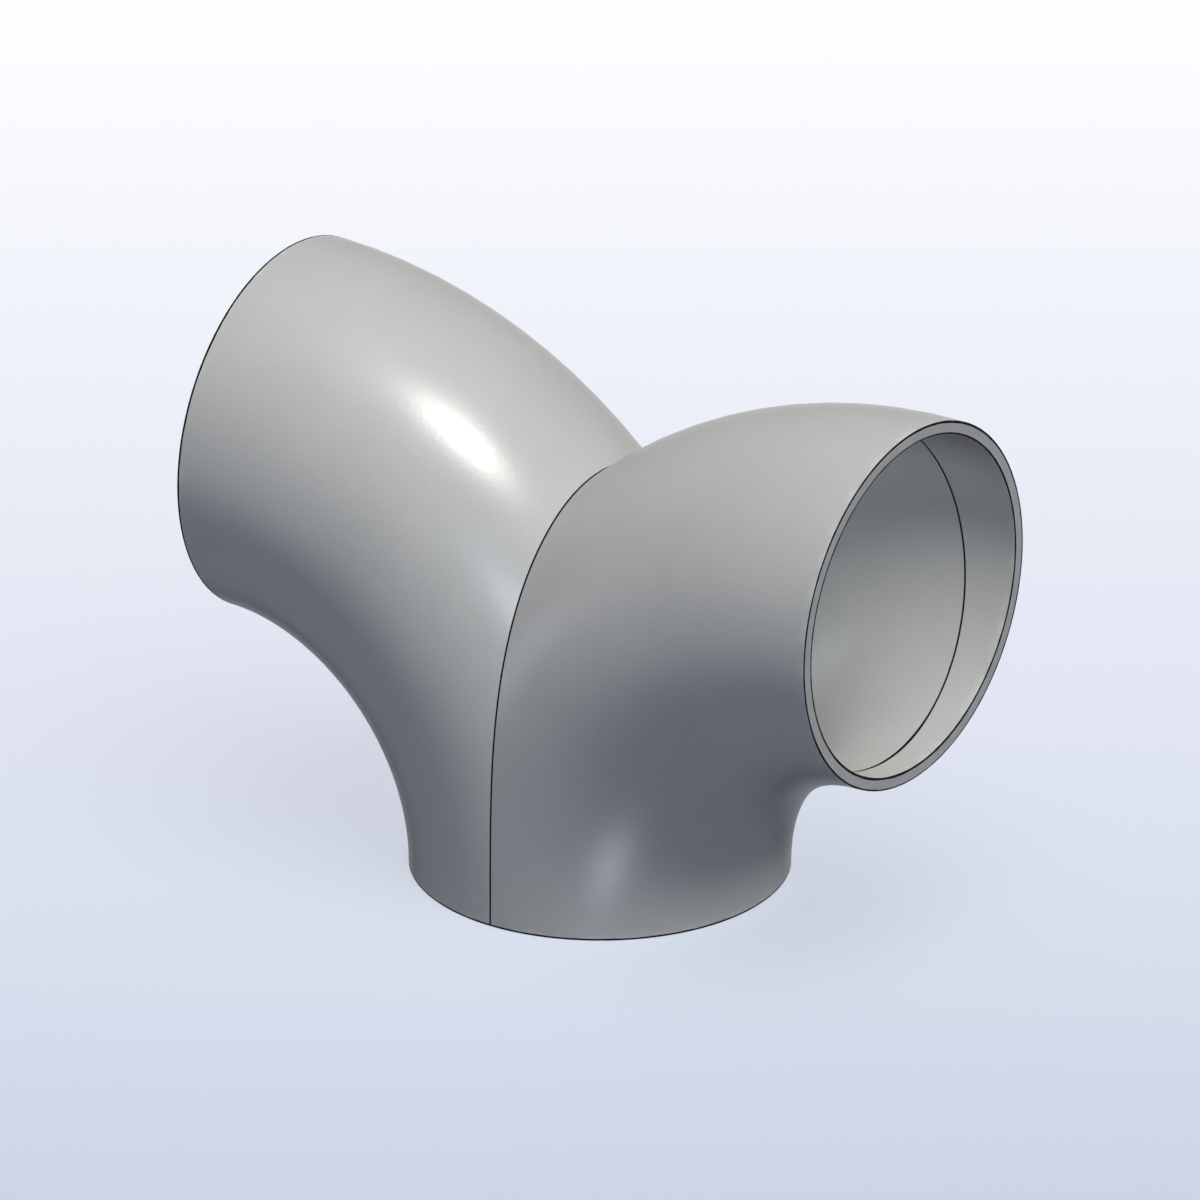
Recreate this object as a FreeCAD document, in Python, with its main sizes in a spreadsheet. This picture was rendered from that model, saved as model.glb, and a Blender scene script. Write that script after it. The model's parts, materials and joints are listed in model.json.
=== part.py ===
"""Y pipe fitting: one round inlet that splits into two swept bends, one to each side.

Each half is a 90 degree bend of plain round tube. The two bends share the inlet, are cut along the
plane midway between the outlets and meet there in a sharp crease, which runs from the inlet up one
side, over the crotch and down the other. The bore splits in the same way. The three ends are cut
square, with the corners of their rims just broken. A fine core line, the mark left where two cores
met in the mould, runs round the bore a little way behind each outlet.

Frame: millimetres, +Z up. The origin is the centre of the inlet's end face, on which the fitting
stands, and the outlets face +X and -X. The right-hand bend turns from +Z at the inlet to +X at its
outlet, about an axis parallel to Y, and the left-hand one is its mirror image.
"""

import FreeCAD, Part
import os
import Sketcher

SIZES = (
    # name, value in millimetres or degrees, what it is
    ("pipe_outer_diameter", 108.0, "outside diameter of the tube, the same at all three ends"),
    ("wall_thickness", 4.0, "wall of the tube"),
    ("bend_radius", 108.0, "radius of each bend's centreline"),
    ("bend_angle", 90.0, "angle that each bend turns through"),
    ("edge_break", 0.3, "corner taken off each rim of the cut ends"),
    ("core_line_setback", 18.4, "way along the centreline from an outlet to its core line"),
    ("core_line_width", 0.5, "width of a core line at the wall of the bore"),
    ("core_line_depth", 0.2, "depth of a core line in the wall of the bore"),
)

OUTER_RADIUS = "Sizes.pipe_outer_diameter / 2"
BORE_RADIUS = "(Sizes.pipe_outer_diameter / 2 - Sizes.wall_thickness)"

# Places along the bend, as the angle turned since the inlet.
AT_INLET = "0 deg"
AT_OUTLET = "(Sizes.bend_angle * 1 deg)"
AT_CORE_LINE = "(Sizes.bend_angle * 1 deg - Sizes.core_line_setback / Sizes.bend_radius * 1 rad)"

# What every sketch has from the start, by the numbers that its constraints take. The origin is the
# first point of the X axis, and the Y axis comes next after it.
ORIGIN = (-1, 1)
X_AXIS = ORIGIN[0]
Y_AXIS = X_AXIS - 1


def make_sizes(doc):
    """The sheet of driving dimensions, one row for each."""
    sheet = doc.addObject("Spreadsheet::Sheet", "Sizes")
    for row, (name, value, meaning) in enumerate(SIZES, start=1):
        sheet.set(f"A{row}", name)
        sheet.set(f"B{row}", str(value))
        sheet.setAlias(f"B{row}", name)
        sheet.set(f"C{row}", meaning)
    doc.recompute()
    return sheet


def origin_plane(body, role):
    """One of the body's own origin planes, such as XY_Plane."""
    return next(feature for feature in body.Origin.OriginFeatures if feature.Role == role)


def new_sketch(body, name, role):
    """An empty sketch on one of the body's origin planes."""
    sketch = body.newObject("Sketcher::SketchObject", name)
    sketch.AttachmentSupport = [(origin_plane(body, role), "")]
    sketch.MapMode = "FlatFace"
    return sketch


def centreline_sketch(body, name, place, turn="0 deg"):
    """An empty sketch in the plane of the bend, with its origin on the centreline at this place.

    Its Y axis follows the centreline away from the inlet, and its X axis points to the centre of
    the bend. A turn of 180 degrees points both the other way.
    """
    sketch = new_sketch(body, name, "XZ_Plane")
    sketch.setExpression(".AttachmentOffset.Base.x", f"Sizes.bend_radius * (1 - cos({place}))")
    sketch.setExpression(".AttachmentOffset.Base.y", f"Sizes.bend_radius * sin({place})")
    sketch.setExpression(".AttachmentOffset.Rotation.Angle", f"{turn} - {place}")
    return sketch


def add_size(sketch, kind, first, second, name, value, expression):
    """Adds a distance between two points and drives it from the sheet."""
    index = sketch.addConstraint(Sketcher.Constraint(kind, *first, *second, value))
    sketch.renameConstraint(index, name)
    sketch.setExpression(f"Constraints.{name}", expression)


def draw_outline(sketch, corners):
    """A closed outline through the corners. Line i starts at corner i."""
    points = [FreeCAD.Vector(x, y, 0) for x, y in corners]
    lines = []
    for start, end in zip(points, points[1:] + points[:1]):
        lines.append(sketch.addGeometry(Part.LineSegment(start, end), False))
    for line, following in zip(lines, lines[1:] + lines[:1]):
        sketch.addConstraint(Sketcher.Constraint("Coincident", line, 2, following, 1))
    return lines


def cut_round(body, name, sketch):
    """Cuts the sketch's outlines out of the tube, all the way round the sketch's Y axis."""
    groove = body.newObject("PartDesign::Groove", name)
    groove.Profile = sketch
    groove.ReferenceAxis = (sketch, ["V_Axis"])
    groove.Angle = 360
    sketch.Visibility = False


def sweep_bend(body, sizes):
    """The whole right-hand bend: the ring of the tube, swept from the inlet to the outlet."""
    sketch = new_sketch(body, "tube_section", "XY_Plane")
    outer_radius = sizes.pipe_outer_diameter / 2
    bore_radius = outer_radius - sizes.wall_thickness
    for name, radius, expression in (
        ("outer_radius", outer_radius, OUTER_RADIUS),
        ("bore_radius", bore_radius, BORE_RADIUS),
    ):
        circle = sketch.addGeometry(
            Part.Circle(FreeCAD.Vector(0, 0, 0), FreeCAD.Vector(0, 0, 1), radius), False
        )
        sketch.addConstraint(Sketcher.Constraint("Coincident", circle, 3, *ORIGIN))
        index = sketch.addConstraint(Sketcher.Constraint("Radius", circle, radius))
        sketch.renameConstraint(index, name)
        sketch.setExpression(f"Constraints.{name}", expression)

    axis_start = FreeCAD.Vector(sizes.bend_radius, 0, 0)
    axis_end = FreeCAD.Vector(sizes.bend_radius, outer_radius, 0)
    axis = sketch.addGeometry(Part.LineSegment(axis_start, axis_end), True)
    sketch.addConstraint(Sketcher.Constraint("Vertical", axis))
    sketch.addConstraint(Sketcher.Constraint("PointOnObject", axis, 1, X_AXIS))
    add_size(
        sketch, "DistanceX", ORIGIN, (axis, 1), "bend_radius", sizes.bend_radius, "Sizes.bend_radius"
    )
    add_size(sketch, "DistanceY", (axis, 1), (axis, 2), "axis_length", outer_radius, OUTER_RADIUS)

    bend = body.newObject("PartDesign::Revolution", "right_bend")
    bend.Profile = sketch
    bend.ReferenceAxis = (sketch, ["Axis0"])
    bend.setExpression("Angle", "Sizes.bend_angle")
    sketch.Visibility = False


def cut_core_line(body, sizes):
    """The fine V round the bore, square to the centreline.

    The V is drawn twice as deep as it cuts, so that its open side lies clear of the wall.
    """
    sketch = centreline_sketch(body, "core_line_section", AT_CORE_LINE)
    bore_radius = sizes.pipe_outer_diameter / 2 - sizes.wall_thickness
    width = sizes.core_line_width
    depth = sizes.core_line_depth
    first, base, _ = draw_outline(
        sketch,
        (
            (bore_radius + depth, 0),
            (bore_radius - depth, width),
            (bore_radius - depth, -width),
        ),
    )
    sketch.addConstraint(Sketcher.Constraint("PointOnObject", first, 1, X_AXIS))
    sketch.addConstraint(Sketcher.Constraint("Symmetric", base, 1, base, 2, X_AXIS))
    add_size(
        sketch,
        "DistanceX",
        ORIGIN,
        (first, 1),
        "tip_radius",
        bore_radius + depth,
        f"{BORE_RADIUS} + Sizes.core_line_depth",
    )
    add_size(
        sketch,
        "DistanceX",
        (base, 1),
        (first, 1),
        "drawn_depth",
        2 * depth,
        "2 * Sizes.core_line_depth",
    )
    add_size(
        sketch,
        "DistanceY",
        (base, 2),
        (base, 1),
        "drawn_width",
        2 * width,
        "2 * Sizes.core_line_width",
    )
    cut_round(body, "core_line", sketch)


def break_rims(body, sizes, end, place, turn):
    """Takes the corners off both rims of a cut end, the outside one and that of the bore.

    The sketch's Y axis points into the tube. Each cutting triangle has its square corner outside the
    tube, one edge break from the rim both ways, and its slope at 45 degrees through the wall.
    """
    sketch = centreline_sketch(body, f"{end}_rim_section", place, turn)
    outer_radius = sizes.pipe_outer_diameter / 2
    bore_radius = outer_radius - sizes.wall_thickness
    size = sizes.edge_break
    for rim, radius, outward, expression in (
        ("outside", outer_radius, size, f"{OUTER_RADIUS} + Sizes.edge_break"),
        ("bore", bore_radius, -size, f"{BORE_RADIUS} - Sizes.edge_break"),
    ):
        upright, slope, level = draw_outline(
            sketch,
            (
                (radius + outward, -size),
                (radius + outward, 2 * size),
                (radius - 2 * outward, -size),
            ),
        )
        sketch.addConstraint(Sketcher.Constraint("Vertical", upright))
        sketch.addConstraint(Sketcher.Constraint("Horizontal", level))
        sketch.addConstraint(Sketcher.Constraint("Equal", upright, level))
        add_size(
            sketch,
            "DistanceX",
            ORIGIN,
            (upright, 1),
            f"{rim}_corner_radius",
            radius + outward,
            expression,
        )
        add_size(
            sketch,
            "DistanceY",
            (upright, 1),
            ORIGIN,
            f"{rim}_corner_drop",
            size,
            "Sizes.edge_break",
        )
        add_size(
            sketch,
            "DistanceY",
            (upright, 1),
            (slope, 1),
            f"{rim}_leg",
            3 * size,
            "3 * Sizes.edge_break",
        )
    cut_round(body, f"{end}_rims", sketch)


def trim_at_middle(body, sizes):
    """Cuts off what the right-hand bend has on the left of the middle plane."""
    sketch = new_sketch(body, "middle_outline", "YZ_Plane")
    half_width = sizes.pipe_outer_diameter
    height = sizes.bend_radius + sizes.pipe_outer_diameter
    drop = sizes.wall_thickness
    bottom, right, top, left = draw_outline(
        sketch,
        (
            (-half_width, -drop),
            (half_width, -drop),
            (half_width, height),
            (-half_width, height),
        ),
    )
    sketch.addConstraint(Sketcher.Constraint("Vertical", right))
    sketch.addConstraint(Sketcher.Constraint("Vertical", left))
    sketch.addConstraint(Sketcher.Constraint("Horizontal", bottom))
    sketch.addConstraint(Sketcher.Constraint("Symmetric", top, 1, top, 2, Y_AXIS))
    add_size(
        sketch,
        "DistanceX",
        (bottom, 1),
        (bottom, 2),
        "width",
        2 * half_width,
        "2 * Sizes.pipe_outer_diameter",
    )
    add_size(sketch, "DistanceY", (bottom, 1), ORIGIN, "drop", drop, "Sizes.wall_thickness")
    add_size(
        sketch,
        "DistanceY",
        ORIGIN,
        (top, 1),
        "height",
        height,
        "Sizes.bend_radius + Sizes.pipe_outer_diameter",
    )

    # A pocket runs against the sketch's normal, which is +X here.
    trim = body.newObject("PartDesign::Pocket", "middle_trim")
    trim.Profile = sketch
    trim.Type = "ThroughAll"
    sketch.Visibility = False


def mirror_half(body):
    """The left-hand half, fused to the right-hand one along the crease."""
    mirror = body.newObject("PartDesign::Mirrored", "left_half")
    mirror.TransformMode = "Whole shape"
    mirror.MirrorPlane = (origin_plane(body, "YZ_Plane"), [""])
    body.Tip = mirror


def make_fitting(doc, sizes):
    """The fitting, which is one piece."""
    body = doc.addObject("PartDesign::Body", "fitting_body")
    body.Label = "fitting_body"
    sweep_bend(body, sizes)
    break_rims(body, sizes, "outlet", AT_OUTLET, "180 deg")
    cut_core_line(body, sizes)
    trim_at_middle(body, sizes)
    doc.recompute()
    half_volume = body.Shape.Volume
    mirror_half(body)
    break_rims(body, sizes, "inlet", AT_INLET, "0 deg")
    doc.recompute()
    print("half", round(half_volume, 1), "mm3, whole", round(body.Shape.Volume, 1), "mm3")
    return body


def check_and_export(doc, pieces):
    """Stops on a failed feature or a bad solid, then writes one STEP file for each piece."""
    for item in doc.Objects:
        if {"Invalid", "Error"} & set(item.State):
            raise RuntimeError(f"{item.Name} failed: {item.State}")
    os.makedirs("parts", exist_ok=True)
    for piece in pieces:
        shape = piece.Shape
        if shape.isNull() or not shape.isValid() or len(shape.Solids) != 1:
            raise RuntimeError(f"{piece.Label} isn't one valid solid")
        shape.exportStep(f"parts/{piece.Label}.step")


def main():
    doc = FreeCAD.newDocument("y_pipe_fitting")
    sizes = make_sizes(doc)
    check_and_export(doc, [make_fitting(doc, sizes)])


main()
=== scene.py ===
"""Looks of the Y pipe fitting: satin grey paint, dark hairlines at its edges, floor, lights and camera."""

import json
import math

import bpy
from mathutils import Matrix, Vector


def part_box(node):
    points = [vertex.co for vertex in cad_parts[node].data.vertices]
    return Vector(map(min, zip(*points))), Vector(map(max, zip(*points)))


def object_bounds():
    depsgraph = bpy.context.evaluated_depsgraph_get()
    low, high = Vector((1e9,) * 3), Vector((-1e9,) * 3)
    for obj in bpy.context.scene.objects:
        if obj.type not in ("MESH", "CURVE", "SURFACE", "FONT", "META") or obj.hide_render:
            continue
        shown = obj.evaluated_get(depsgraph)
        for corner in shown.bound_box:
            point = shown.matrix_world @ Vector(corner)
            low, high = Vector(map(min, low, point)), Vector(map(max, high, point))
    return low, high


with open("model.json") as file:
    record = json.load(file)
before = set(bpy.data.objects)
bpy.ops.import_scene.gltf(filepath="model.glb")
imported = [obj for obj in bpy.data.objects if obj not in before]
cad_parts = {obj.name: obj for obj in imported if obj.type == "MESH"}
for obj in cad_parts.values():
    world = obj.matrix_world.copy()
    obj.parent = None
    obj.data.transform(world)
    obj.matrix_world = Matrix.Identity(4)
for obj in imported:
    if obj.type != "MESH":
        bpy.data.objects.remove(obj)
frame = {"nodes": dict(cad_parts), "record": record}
cad_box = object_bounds()

# Sizes in metres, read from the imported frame. The two bends meet on the plane X = 0.
MM = 0.001
FITTING = frame["nodes"]["fitting_body"]
FITTING_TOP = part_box("fitting_body")[1]
BEND_RADIUS = FITTING_TOP.x
OUTER_RADIUS = FITTING_TOP.y
WALL_MIDDLE = frame["record"]["mounts"][0]["pos_m"][0]
BORE_RADIUS = 2 * WALL_MIDDLE - OUTER_RADIUS

# The core line goes round each bore at this length of bend behind the outlet's face
CORE_LINE_SETBACK = 18.4 * MM
CORE_LINE_ANGLE = math.pi / 2 - CORE_LINE_SETBACK / BEND_RADIUS

# Hairlines: how far they reach to either side of the edge that they follow
CREASE_REACH = 0.32 * MM
CORE_LINE_REACH = 0.36 * MM
CORE_LINE_REACH_AT_BOTTOM = 0.60 * MM
CORE_LINE_BROAD_HEIGHT = 0.16 * BORE_RADIUS
FINE_REACH_ON_FACES = 0.55 * MM
BROAD_REACH_ON_FACES = 0.95 * MM
REACH_ON_OUTLET_WALLS = 0.27 * MM
REACH_ON_LEFT_OUTSIDE = 0.90 * MM
REACH_ON_INLET_WALLS = 0.76 * MM
RIM_REACHES = (
    FINE_REACH_ON_FACES,
    BROAD_REACH_ON_FACES,
    REACH_ON_OUTLET_WALLS,
    REACH_ON_LEFT_OUTSIDE,
    REACH_ON_INLET_WALLS,
)
LINE_SOFTNESS = 0.15
WAVER = (0.93, 1.07)

# Paint, in linear light
PAINT_DARK = (0.474, 0.474, 0.468)
PAINT_LIGHT = (0.516, 0.516, 0.510)
PAINT_WORN = (0.640, 0.640, 0.630)
LINE_COLOUR = (0.010, 0.011, 0.014)
MOTTLE_SIZE = 45 * MM
MOTTLE_SHARE = 0.6
GRAIN_SIZE = 0.7 * MM
WAVER_SIZE = 6 * MM
PEEL_SIZE = 1.5 * MM
PEEL_HEIGHT = 0.026 * MM
PAINT_ROUGHNESS = (0.284, 0.315)
LINE_ROUGHENING = 0.25
PAINT_GLOSS = 0.56
GLANCING_GLOSS = 0.03
GLANCES = (0.42, 0.78)
LINE_GLOSS_SHARE = 0.07

# Wear at the rims: its reach, the size of its patches and which part of their noise is worn
WEAR_REACH = 3.2 * MM
WEAR_SIZE = 5 * MM
WEAR_PATCHES = (0.42, 0.62)
WEAR_STRENGTH = 0.6
WEAR_SMOOTHING = 0.04

# Noise is mostly between these two values
NOISE_SPREAD = (0.3, 0.7)

# How like the wall's exact normal the mesh's own has to be for the exact one to take its place
NORMAL_LIKENESS = (0.985, 0.995)

# Camera: a parallel view, and the height of the picture at the fitting
AZIMUTH = math.radians(35)
ELEVATION = math.radians(25)
VIEW_HEIGHT = 0.33848
CAMERA_DISTANCE = 2.0
AWAY = Vector((-math.sin(AZIMUTH), math.cos(AZIMUTH), 0))
TOWARDS_CAMERA = Vector((0, 0, math.sin(ELEVATION))) - AWAY * math.cos(ELEVATION)

# Floor: its shades go from the near end to the far end of the photographed ground
FLOOR_SIZE = 12.0
FLOOR_NEAR = -0.226
FLOOR_FAR = 0.574
FLOOR_SHADES = (
    (0.00, (0.604, 0.665, 0.776)),
    (0.25, (0.708, 0.753, 0.839)),
    (0.50, (0.785, 0.815, 0.890)),
    (0.75, (0.880, 0.900, 0.940)),
    (1.00, (1.000, 1.000, 1.000)),
)
# Painted falloff of light: the floor's pale shades fade into the studio grey between these distances from
# the middle, in metres
PAINTED_FALLOFF_RANGE = (0.7, 1.8)
STUDIO_SHADE = (0.38, 0.40, 0.44)
GROUND_SHADE = (0.68, 0.73, 0.82)
HORIZON_DEPTH = -0.05
FLOOR_GLOW = (0.012, 0.013, 0.018)

# Lamps: the way towards each one, its strength, and its spread in degrees. All light on a level
# surface adds up to about 1, so that colours render as they are written.
KEY_WAY = (0.281, -0.128, 0.951)
FRONT_WAY = (0.495, -0.776, 0.391)
LEFT_WAY = (-0.940, -0.320, -0.100)
LOW_WAY = (0.355, -0.604, -0.714)
BACK_WAY = (-0.450, 0.810, -0.370)
KEY_STRENGTH = 2.77
FRONT_STRENGTH = 0.70
LEFT_STRENGTH = 0.20
LOW_STRENGTH = 0.46
BACK_STRENGTH = 0.50
WASH_STRENGTH = 2.45
SHADOW_STRENGTH = 0.40
LAMP_SPREAD = 14
LOW_SPREAD = 16
BACK_SPREAD = 30
SHADOW_SPREAD = 50
PURE_WHITE = (1.0, 1.0, 1.0)
WARM_WHITE = (1.0, 1.0, 0.93)
FAINT_COOL_WHITE = (0.90, 0.95, 1.0)
COOL_WHITE = (0.74, 0.83, 1.0)
AMBIENT = (0.134, 0.135, 0.160)


class Field:
    """A number, vector or colour that varies over a surface.

    Arithmetic on it adds the nodes that work it out.
    """

    def __init__(self, tree, socket):
        self.tree = tree
        self.socket = socket

    def maths(self, operation, *others):
        """Result of an arithmetic operation on this field and the others."""
        node = self.tree.nodes.new("ShaderNodeMath")
        node.operation = operation
        for entry, value in zip(node.inputs, (self, *others)):
            feed(entry, value)
        return Field(self.tree, node.outputs[0])

    def __add__(self, other):
        return self.maths("ADD", other)

    def __sub__(self, other):
        return self.maths("SUBTRACT", other)

    def __mul__(self, other):
        return self.maths("MULTIPLY", other)

    def __abs__(self):
        return self.maths("ABSOLUTE")

    def length_with(self, other):
        """Length of the vector whose two parts are this field and the other."""
        return (self * self + other * other).maths("SQRT")

    def ramp(self, start, end, at_start=0.0, at_end=1.0):
        """Goes smoothly from at_start to at_end while this field goes from start to end."""
        node = self.tree.nodes.new("ShaderNodeMapRange")
        node.interpolation_type = "SMOOTHSTEP"
        for entry, value in zip(node.inputs, (self, start, end, at_start, at_end)):
            feed(entry, value)
        return Field(self.tree, node.outputs["Result"])


def feed(entry, value):
    """Links a field to a node's entry, or sets the entry to a plain number or colour."""
    if isinstance(value, Field):
        value.tree.links.new(value.socket, entry)
    elif entry.type == "RGBA":
        entry.default_value = (*value, 1)
    else:
        entry.default_value = value


def extreme(operation, *fields):
    """The smallest or the largest of several fields, as the operation is MINIMUM or MAXIMUM."""
    most = fields[0]
    for field in fields[1:]:
        most = most.maths(operation, field)
    return most


def new_material(name):
    """An empty node material, its tree and its output's surface entry."""
    material = bpy.data.materials.new(name)
    material.use_nodes = True
    tree = material.node_tree
    tree.nodes.clear()
    output = tree.nodes.new("ShaderNodeOutputMaterial")
    return material, tree, output.inputs["Surface"]


def position(tree, kind="Object"):
    """The place of a point as one vector, and its three parts.

    In the world, the kind is Generated, and the place is the way to the point.
    """
    place = Field(tree, tree.nodes.new("ShaderNodeTexCoord").outputs[kind])
    split = tree.nodes.new("ShaderNodeSeparateXYZ")
    feed(split.inputs[0], place)
    return place, [Field(tree, part) for part in split.outputs]


def vector_maths(tree, operation, *entries):
    """Result of a vector operation: a number for a length or a product of two, or else a vector."""
    node = tree.nodes.new("ShaderNodeVectorMath")
    node.operation = operation
    for entry, value in zip(node.inputs, entries):
        feed(entry, value)
    return Field(tree, node.outputs["Value" if operation in ("LENGTH", "DOT_PRODUCT") else "Vector"])


def noise(tree, place, size, detail=2.0):
    """Noise with lumps about size metres across."""
    node = tree.nodes.new("ShaderNodeTexNoise")
    node.inputs["Scale"].default_value = 1 / size
    node.inputs["Detail"].default_value = detail
    feed(node.inputs["Vector"], place)
    return Field(tree, node.outputs[0])


def blend_colours(tree, share, first, second):
    """Colour that goes from first to second as share goes from 0 to 1."""
    node = tree.nodes.new("ShaderNodeMix")
    node.data_type = "RGBA"
    feed(node.inputs["Factor"], share)
    coloured = [entry for entry in node.inputs if entry.type == "RGBA"]
    feed(coloured[0], first)
    feed(coloured[1], second)
    return Field(tree, next(output for output in node.outputs if output.type == "RGBA"))


def reach_to_rims(x, y, z, fine, broad, on_outlet_walls, on_left_outside, on_inlet_walls):
    """How near a point is to the nearest rim: 0 on its corner, and 1 at the given lengths away from it.

    On the end faces, the outer rim's length goes from fine at the front to broad at the back, and the
    bore's the other way round.
    """
    from_outlet_axis = y.length_with(z - BEND_RADIUS)
    from_inlet_axis = x.length_with(y)
    along_outlet = abs(x) - BEND_RADIUS
    along_outside = along_outlet * x.ramp(-MM, MM, 1 / on_left_outside, 1 / on_outlet_walls)
    at_outer_rim = y.ramp(-OUTER_RADIUS, OUTER_RADIUS, 1 / fine, 1 / broad)
    at_bore_rim = y.ramp(-OUTER_RADIUS, OUTER_RADIUS, 1 / broad, 1 / fine)
    return extreme(
        "MINIMUM",
        ((from_outlet_axis - OUTER_RADIUS) * at_outer_rim).length_with(along_outside),
        ((from_outlet_axis - BORE_RADIUS) * at_bore_rim).length_with(along_outlet * (1 / on_outlet_walls)),
        ((from_inlet_axis - OUTER_RADIUS) * at_outer_rim).length_with(z * (1 / on_inlet_walls)),
        ((from_inlet_axis - BORE_RADIUS) * at_bore_rim).length_with(z * (1 / on_inlet_walls)),
    )


def reach_to_crease(x, z):
    """How near a point is to the crease where the two bends meet. The inlet's end face has none."""
    return abs(x) * (1 / CREASE_REACH) + z.ramp(0, REACH_ON_INLET_WALLS, 1, 0)


def reach_to_core_line(x, y, z):
    """How near a point in a bore is to the core line, which is widest at the bottom of the bore.

    The outside has none.
    """
    along_outlet = abs(x) - BEND_RADIUS
    along_bend = along_outlet * math.sin(CORE_LINE_ANGLE) + z * math.cos(CORE_LINE_ANGLE)
    bottom = BEND_RADIUS - BORE_RADIUS
    broad_top = bottom + CORE_LINE_BROAD_HEIGHT
    fineness = z.ramp(bottom, broad_top, 1 / CORE_LINE_REACH_AT_BOTTOM, 1 / CORE_LINE_REACH)
    from_centreline = (along_outlet.length_with(z) - BEND_RADIUS).length_with(y)
    outside = from_centreline.ramp(WALL_MIDDLE, OUTER_RADIUS)
    return abs(along_bend) * fineness + outside


def wall_normal(tree, x, y, z):
    """Direction exactly square to the round wall, and the mesh's own normal elsewhere."""
    along_outlet = abs(x) - BEND_RADIUS
    from_bend_axis = along_outlet.length_with(z)
    pull = (from_bend_axis - BEND_RADIUS).maths("DIVIDE", from_bend_axis)
    outward = tree.nodes.new("ShaderNodeCombineXYZ")
    for entry, part in zip(outward.inputs, (along_outlet * pull * x.maths("SIGN"), y, z * pull)):
        feed(entry, part)
    square = vector_maths(tree, "NORMALIZE", Field(tree, outward.outputs[0]))
    own = Field(tree, tree.nodes.new("ShaderNodeNewGeometry").outputs["Normal"])
    likeness = vector_maths(tree, "DOT_PRODUCT", square, own)
    square = vector_maths(tree, "MULTIPLY", square, likeness.maths("SIGN"))
    change = vector_maths(tree, "SUBTRACT", square, own)
    return vector_maths(tree, "MULTIPLY_ADD", change, abs(likeness).ramp(*NORMAL_LIKENESS), own)


def satin_paint():
    """Smooth satin grey paint: faint mottling, a fine orange peel, and dark lines where faces meet."""
    material, tree, surface = new_material("satin_grey_paint")
    place, (x, y, z) = position(tree)

    waver = noise(tree, place, WAVER_SIZE).ramp(*NOISE_SPREAD, *WAVER)
    rims = reach_to_rims(x, y, z, *RIM_REACHES) * waver
    edges = (reach_to_crease(x, z), rims, reach_to_core_line(x, y, z))
    line = extreme("MINIMUM", *edges).ramp(1 - LINE_SOFTNESS, 1, 1, 0)

    mottle = noise(tree, place, MOTTLE_SIZE, detail=3.0)
    grain = noise(tree, place, GRAIN_SIZE)
    near_rims = reach_to_rims(x, y, z, *[WEAR_REACH] * len(RIM_REACHES)).ramp(0, 1, 1, 0)
    worn = near_rims * noise(tree, place, WEAR_SIZE, detail=5.0).ramp(*WEAR_PATCHES)
    lightness = (mottle * MOTTLE_SHARE + grain * (1 - MOTTLE_SHARE)).ramp(*NOISE_SPREAD)
    paint = blend_colours(tree, lightness, PAINT_DARK, PAINT_LIGHT)
    paint = blend_colours(tree, worn * WEAR_STRENGTH, paint, PAINT_WORN)
    roughness = mottle.ramp(*NOISE_SPREAD, *PAINT_ROUGHNESS)

    shader = tree.nodes.new("ShaderNodeBsdfPrincipled")
    glance = Field(tree, tree.nodes.new("ShaderNodeLayerWeight").outputs["Facing"])
    gloss = glance.ramp(*GLANCES, PAINT_GLOSS, GLANCING_GLOSS) * line.ramp(0, 1, 1, LINE_GLOSS_SHARE)
    feed(shader.inputs["Specular IOR Level"], gloss)
    feed(shader.inputs["Base Color"], blend_colours(tree, line, paint, LINE_COLOUR))
    feed(shader.inputs["Roughness"], roughness - worn * WEAR_SMOOTHING + line * LINE_ROUGHENING)
    bump = tree.nodes.new("ShaderNodeBump")
    bump.inputs["Distance"].default_value = PEEL_HEIGHT
    feed(bump.inputs["Height"], noise(tree, place, PEEL_SIZE))
    feed(bump.inputs["Normal"], wall_normal(tree, x, y, z))
    tree.links.new(bump.outputs["Normal"], shader.inputs["Normal"])
    tree.links.new(shader.outputs["BSDF"], surface)
    return material


def seen_directly(tree):
    """1 for rays from the camera, from a reflection and through glass, and 0 for the rest."""
    path = tree.nodes.new("ShaderNodeLightPath")
    kinds = ("Is Camera Ray", "Is Glossy Ray", "Is Transmission Ray")
    return extreme("MAXIMUM", *[Field(tree, path.outputs[kind]) for kind in kinds])


def floor_finish():
    """Matt floor: pale near the fitting, with a painted falloff of light that makes it dimmer far off, and
    clear when seen from below.
    """
    material, tree, surface = new_material("pale_floor")
    place, _ = position(tree)
    along = vector_maths(tree, "DOT_PRODUCT", place, AWAY) - FLOOR_NEAR
    shades = tree.nodes.new("ShaderNodeValToRGB")
    stops = shades.color_ramp.elements
    for share, _ in FLOOR_SHADES[1:-1]:
        stops.new(share)
    for stop, (_, colour) in zip(stops, FLOOR_SHADES):
        stop.color = (*colour, 1)
    feed(shades.inputs["Fac"], along * (1 / (FLOOR_FAR - FLOOR_NEAR)))
    # Painted light falloff: the floor's colour darkens towards the studio grey with distance from the
    # fitting
    painted_falloff = vector_maths(tree, "LENGTH", place).ramp(*PAINTED_FALLOFF_RANGE)
    shown = blend_colours(tree, painted_falloff, Field(tree, shades.outputs["Color"]), STUDIO_SHADE)

    matt = tree.nodes.new("ShaderNodeBsdfDiffuse")
    feed(matt.inputs["Color"], blend_colours(tree, seen_directly(tree), FLOOR_GLOW, shown))
    clear = tree.nodes.new("ShaderNodeBsdfTransparent")
    sides = tree.nodes.new("ShaderNodeMixShader")
    from_below = tree.nodes.new("ShaderNodeNewGeometry").outputs["Backfacing"]
    tree.links.new(from_below, sides.inputs[0])
    tree.links.new(matt.outputs[0], sides.inputs[1])
    tree.links.new(clear.outputs[0], sides.inputs[2])
    tree.links.new(sides.outputs[0], surface)
    return material


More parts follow.
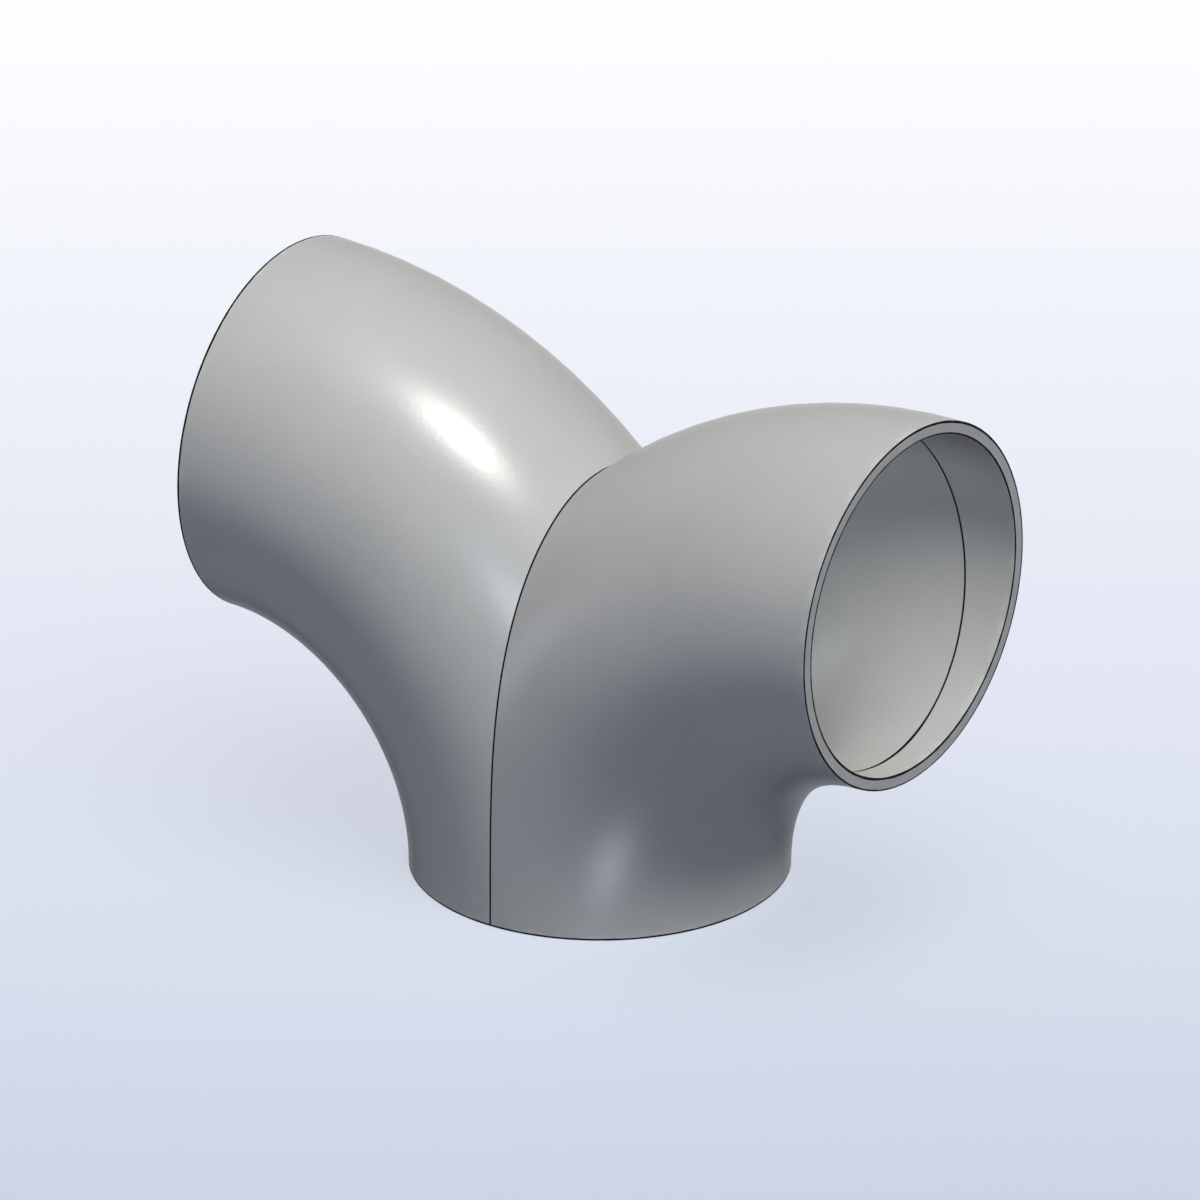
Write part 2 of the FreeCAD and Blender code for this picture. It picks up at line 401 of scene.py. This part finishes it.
def add_floor():
    """Square floor that the fitting's inlet stands on."""
    half = FLOOR_SIZE / 2
    corners = [(-half, -half, 0), (half, -half, 0), (half, half, 0), (-half, half, 0)]
    mesh = bpy.data.meshes.new("floor")
    mesh.from_pydata(corners, [], [(0, 1, 2, 3)])
    mesh.materials.append(floor_finish())
    floor = bpy.data.objects.new("floor", mesh)
    bpy.context.scene.collection.objects.link(floor)
    return floor


def set_world():
    """Even, faintly blue light from all round. Where it is seen, a plain grey studio over pale ground."""
    world = bpy.data.worlds.new("studio")
    world.use_nodes = True
    bpy.context.scene.world = world
    tree = world.node_tree
    _, (_, _, upwards) = position(tree, "Generated")
    shown = blend_colours(tree, upwards.ramp(HORIZON_DEPTH, 0), GROUND_SHADE, STUDIO_SHADE)
    colour = blend_colours(tree, seen_directly(tree), AMBIENT, shown)
    feed(tree.nodes["Background"].inputs["Color"], colour)


def only(thing):
    """A collection of one object, for a lamp that lights nothing else."""
    group = bpy.data.collections.new(thing.name + "_only")
    group.objects.link(thing)
    return group


def add_lamp(name, way, strength, colour, spread, lit, blockers=None):
    """Soft distant lamp. Without blockers, it lights every face turned to it, inside the bores too."""
    light = bpy.data.lights.new(name, "SUN")
    light.energy = strength
    light.color = colour
    light.angle = math.radians(spread)
    light.use_shadow = blockers is not None
    lamp = bpy.data.objects.new(name, light)
    lamp.rotation_euler = Vector(way).to_track_quat("Z", "Y").to_euler()
    lamp.light_linking.receiver_collection = lit
    lamp.light_linking.blocker_collection = blockers
    bpy.context.scene.collection.objects.link(lamp)
    return lamp


def add_camera():
    """Parallel view at the middle of the fitting."""
    low, high = (Vector(corner) for corner in cad_box)
    view = bpy.data.cameras.new("camera")
    view.type = "ORTHO"
    view.ortho_scale = VIEW_HEIGHT
    view.clip_end = 4 * CAMERA_DISTANCE
    camera = bpy.data.objects.new("camera", view)
    camera.location = (low + high) / 2 + TOWARDS_CAMERA * CAMERA_DISTANCE
    camera.rotation_euler = TOWARDS_CAMERA.to_track_quat("Z", "Y").to_euler()
    bpy.context.scene.collection.objects.link(camera)
    bpy.context.scene.camera = camera


FITTING.data.materials.clear()
FITTING.data.materials.append(satin_paint())
set_world()
on_floor = only(add_floor())
on_fitting = only(FITTING)
add_lamp("key", KEY_WAY, KEY_STRENGTH, WARM_WHITE, LAMP_SPREAD, on_fitting)
add_lamp("front_fill", FRONT_WAY, FRONT_STRENGTH, COOL_WHITE, LAMP_SPREAD, on_fitting)
left_glint = add_lamp("left_glint", LEFT_WAY, LEFT_STRENGTH, FAINT_COOL_WHITE, LAMP_SPREAD, on_fitting)
left_glint.visible_diffuse = False
low_glint = add_lamp("low_glint", LOW_WAY, LOW_STRENGTH, COOL_WHITE, LOW_SPREAD, on_fitting, on_fitting)
low_glint.visible_diffuse = False
back_fill = add_lamp("back_fill", BACK_WAY, BACK_STRENGTH, COOL_WHITE, BACK_SPREAD, on_fitting, on_fitting)
back_fill.visible_glossy = False
add_lamp("floor_wash", KEY_WAY, WASH_STRENGTH, PURE_WHITE, LAMP_SPREAD, on_floor)
add_lamp("floor_shadow", KEY_WAY, SHADOW_STRENGTH, PURE_WHITE, SHADOW_SPREAD, on_floor, on_fitting)
add_camera()
bpy.context.scene.view_settings.view_transform = "Standard"
